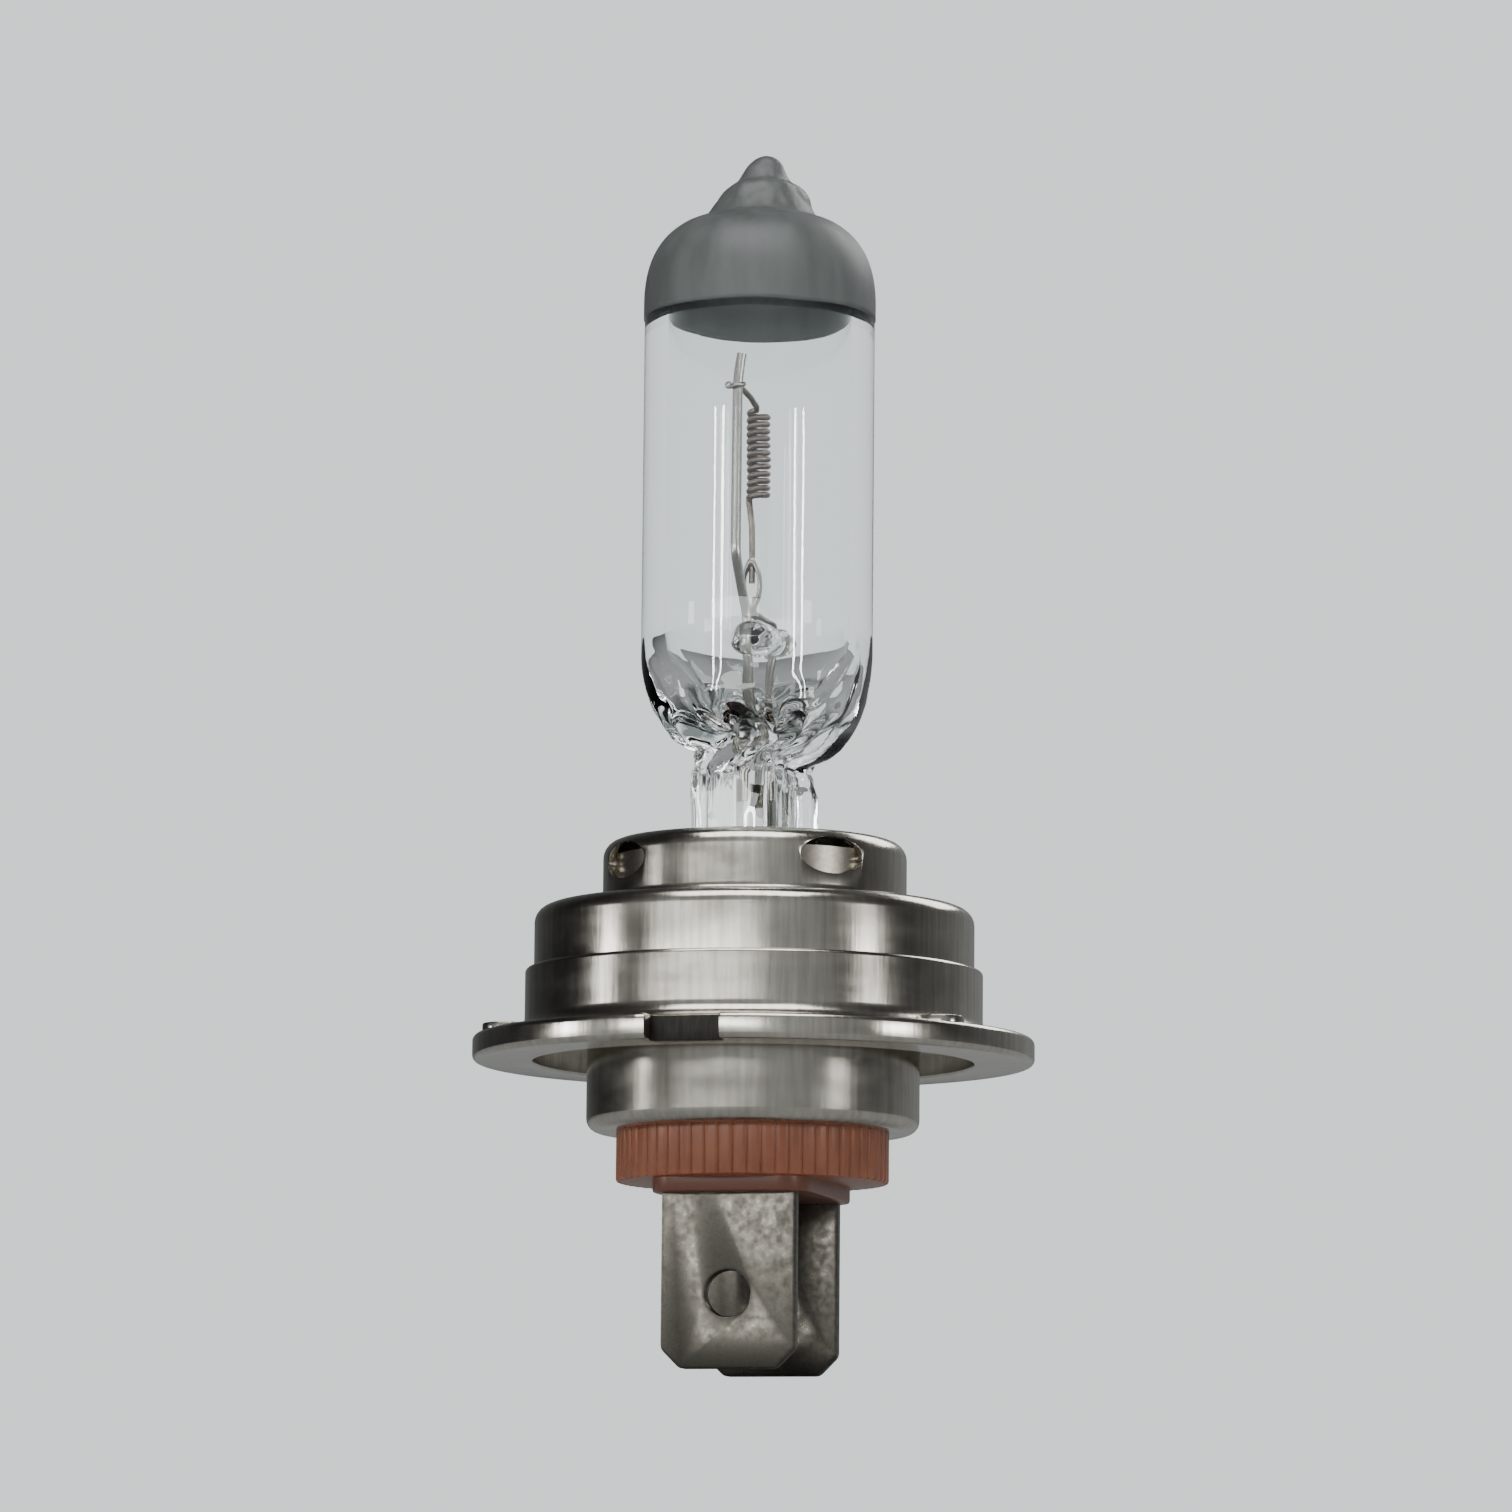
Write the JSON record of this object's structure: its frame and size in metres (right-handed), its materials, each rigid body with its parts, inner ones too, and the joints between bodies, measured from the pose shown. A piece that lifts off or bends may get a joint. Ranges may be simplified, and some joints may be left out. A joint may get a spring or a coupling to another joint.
{
  "type": "headlight bulb",
  "caption": "Halogen headlamp bulb: black-tipped quartz tube with a coiled filament, notched focusing flange, metal cap, moulded insulator and flat contact blades.",
  "frame": {"origin": "on the bulb's axis, in the reference plane that the tops of the three bosses on the flange define", "axes": "+Z along the bulb's axis towards the glass tip; -Y towards the notch in the flange, the long lead and the front blade; the blades' faces are normal to Y"},
  "size_m": [0.026, 0.0259, 0.0572],
  "materials": {
    "quartz_glass": "clear, smooth",
    "black_coating": "matte heat-proof black",
    "tungsten": "drawn wire, dark grey",
    "molybdenum": "drawn wire, grey",
    "spring_steel": "rolled sheet",
    "nickel_plated_steel": "satin nickel plate",
    "insulator_plastic": "moulded, slightly translucent",
    "blade_nickel": "dull plated"
  },
  "bodies": {
    "root": {"glass_envelope": "quartz_glass", "top_coating": "black_coating", "filament_coil": "tungsten", "upper_tail_ring": "molybdenum", "lower_tail_hook": "molybdenum", "long_lead_wire": "molybdenum", "short_lead_wire": "molybdenum", "quartz_bridge": "quartz_glass", "seal_foil_front": "molybdenum", "seal_foil_rear": "molybdenum", "outer_lead_front": "molybdenum", "outer_lead_rear": "molybdenum", "pinch_clamp_left": "spring_steel", "pinch_clamp_right": "spring_steel", "holder_cup": "nickel_plated_steel", "focus_ring": "nickel_plated_steel", "base_sleeve": "nickel_plated_steel", "insulator_plug": "insulator_plastic", "contact_blade_front": "blade_nickel", "contact_blade_rear": "blade_nickel"}
  },
  "joints": []
}
